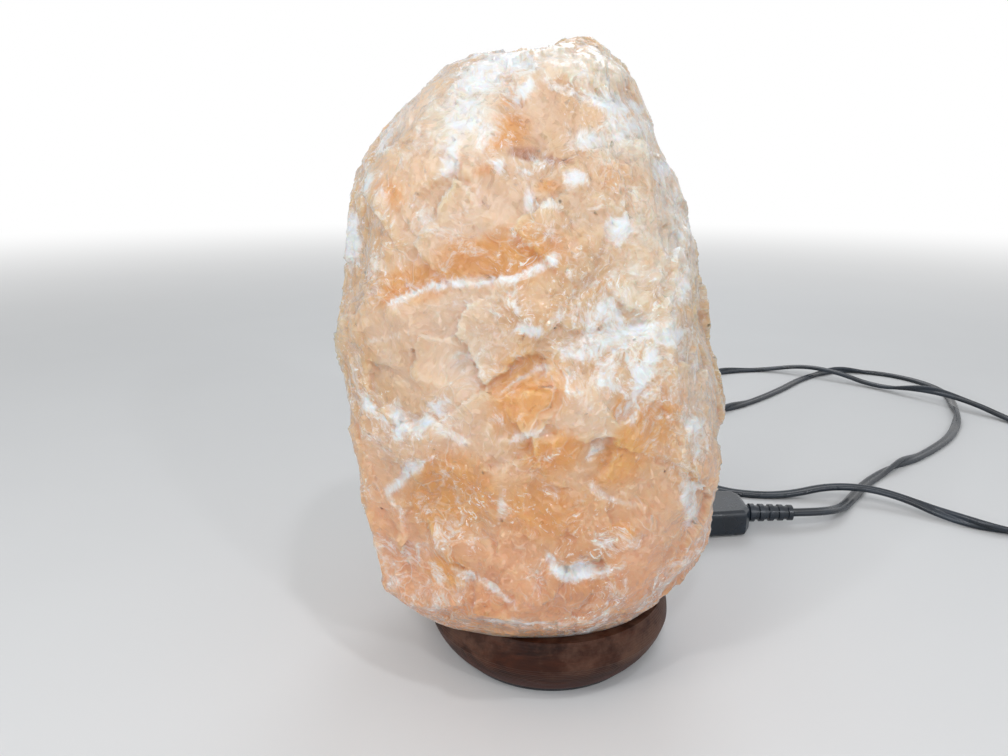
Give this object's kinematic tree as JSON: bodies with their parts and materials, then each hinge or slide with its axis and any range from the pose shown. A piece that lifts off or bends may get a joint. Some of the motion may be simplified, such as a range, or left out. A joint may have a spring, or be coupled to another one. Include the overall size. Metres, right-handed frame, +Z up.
{
  "type": "salt crystal table lamp",
  "caption": "Rough orange and white rock salt crystal lamp on a turned dark wooden base, with a small bulb inside, black flat flex, in-line rocker switch and moulded plug.",
  "frame": {"origin": "middle of the felt ring's underside, on the axis of the turned base, at the table's height", "axes": "+Z up along the base's axis, -Y towards the viewer of the picture, +X to the viewer's right, where the flex and plug lie"},
  "size_m": [0.4457, 0.451, 0.217],
  "materials": {
    "rock_salt": "gloss",
    "stained_wood": "satin",
    "felt": "matte",
    "zinc_steel": "satin",
    "spring_steel": "satin",
    "white_nylon": "matte",
    "black_thermoset": "satin",
    "brass": "satin",
    "nickel_brass": "gloss",
    "bulb_glass": "gloss",
    "black_glass": "gloss",
    "tungsten": "matte",
    "core_insulation": "satin",
    "black_pvc": "satin",
    "black_plastic": "satin"
  },
  "bodies": {
    "lamp": {"base_screws": "zinc_steel", "centre_contact": "brass", "clip_rivets": "zinc_steel", "felt_ring": "felt", "flex_bush": "black_pvc", "flex_lamp_side": "black_pvc", "flex_plug_side": "black_pvc", "holder_cap": "black_thermoset", "holder_insulator": "black_thermoset", "holder_leads": "core_insulation", "holder_sleeve": "black_thermoset", "holder_terminals": "brass", "nipple_nut": "zinc_steel", "pin_sleeves": "black_plastic", "plug_body": "black_pvc", "plug_bridge": "black_plastic", "plug_pins": "nickel_brass", "retaining_plate": "zinc_steel", "salt_crystal": "rock_salt", "screw_anchors": "white_nylon", "screw_shell": "brass", "spring_clips": "spring_steel", "strain_relief": "black_pvc", "switch_contacts": "brass", "switch_leads": "core_insulation", "switch_lower": "black_plastic", "switch_screws": "zinc_steel", "switch_spring": "spring_steel", "switch_upper": "black_plastic", "terminal_screws": "zinc_steel", "threaded_nipple": "zinc_steel", "wooden_base": "stained_wood"},
    "bulb": {"bulb_contact": "brass", "bulb_insulator": "black_glass", "bulb_cap": "nickel_brass", "bulb_glass": "bulb_glass", "bulb_stem": "bulb_glass", "bulb_leads": "nickel_brass", "bulb_filament": "tungsten"},
    "rocker": {"switch_rocker": "black_plastic", "rocker_pin": "black_plastic"}
  },
  "joints": [
    {"name": "bulb_turn", "type": "hinge", "parent": "lamp", "child": "bulb", "pos_m": [0, 0, 0.04], "axis": [0, 0, 1], "range_deg": [0, 900]},
    {"name": "switch_rock", "type": "hinge", "parent": "lamp", "child": "rocker", "pos_m": [0.018, 0.292, 0.0124], "axis": [0, 1, 0], "range_deg": [-9, 9]}
  ]
}
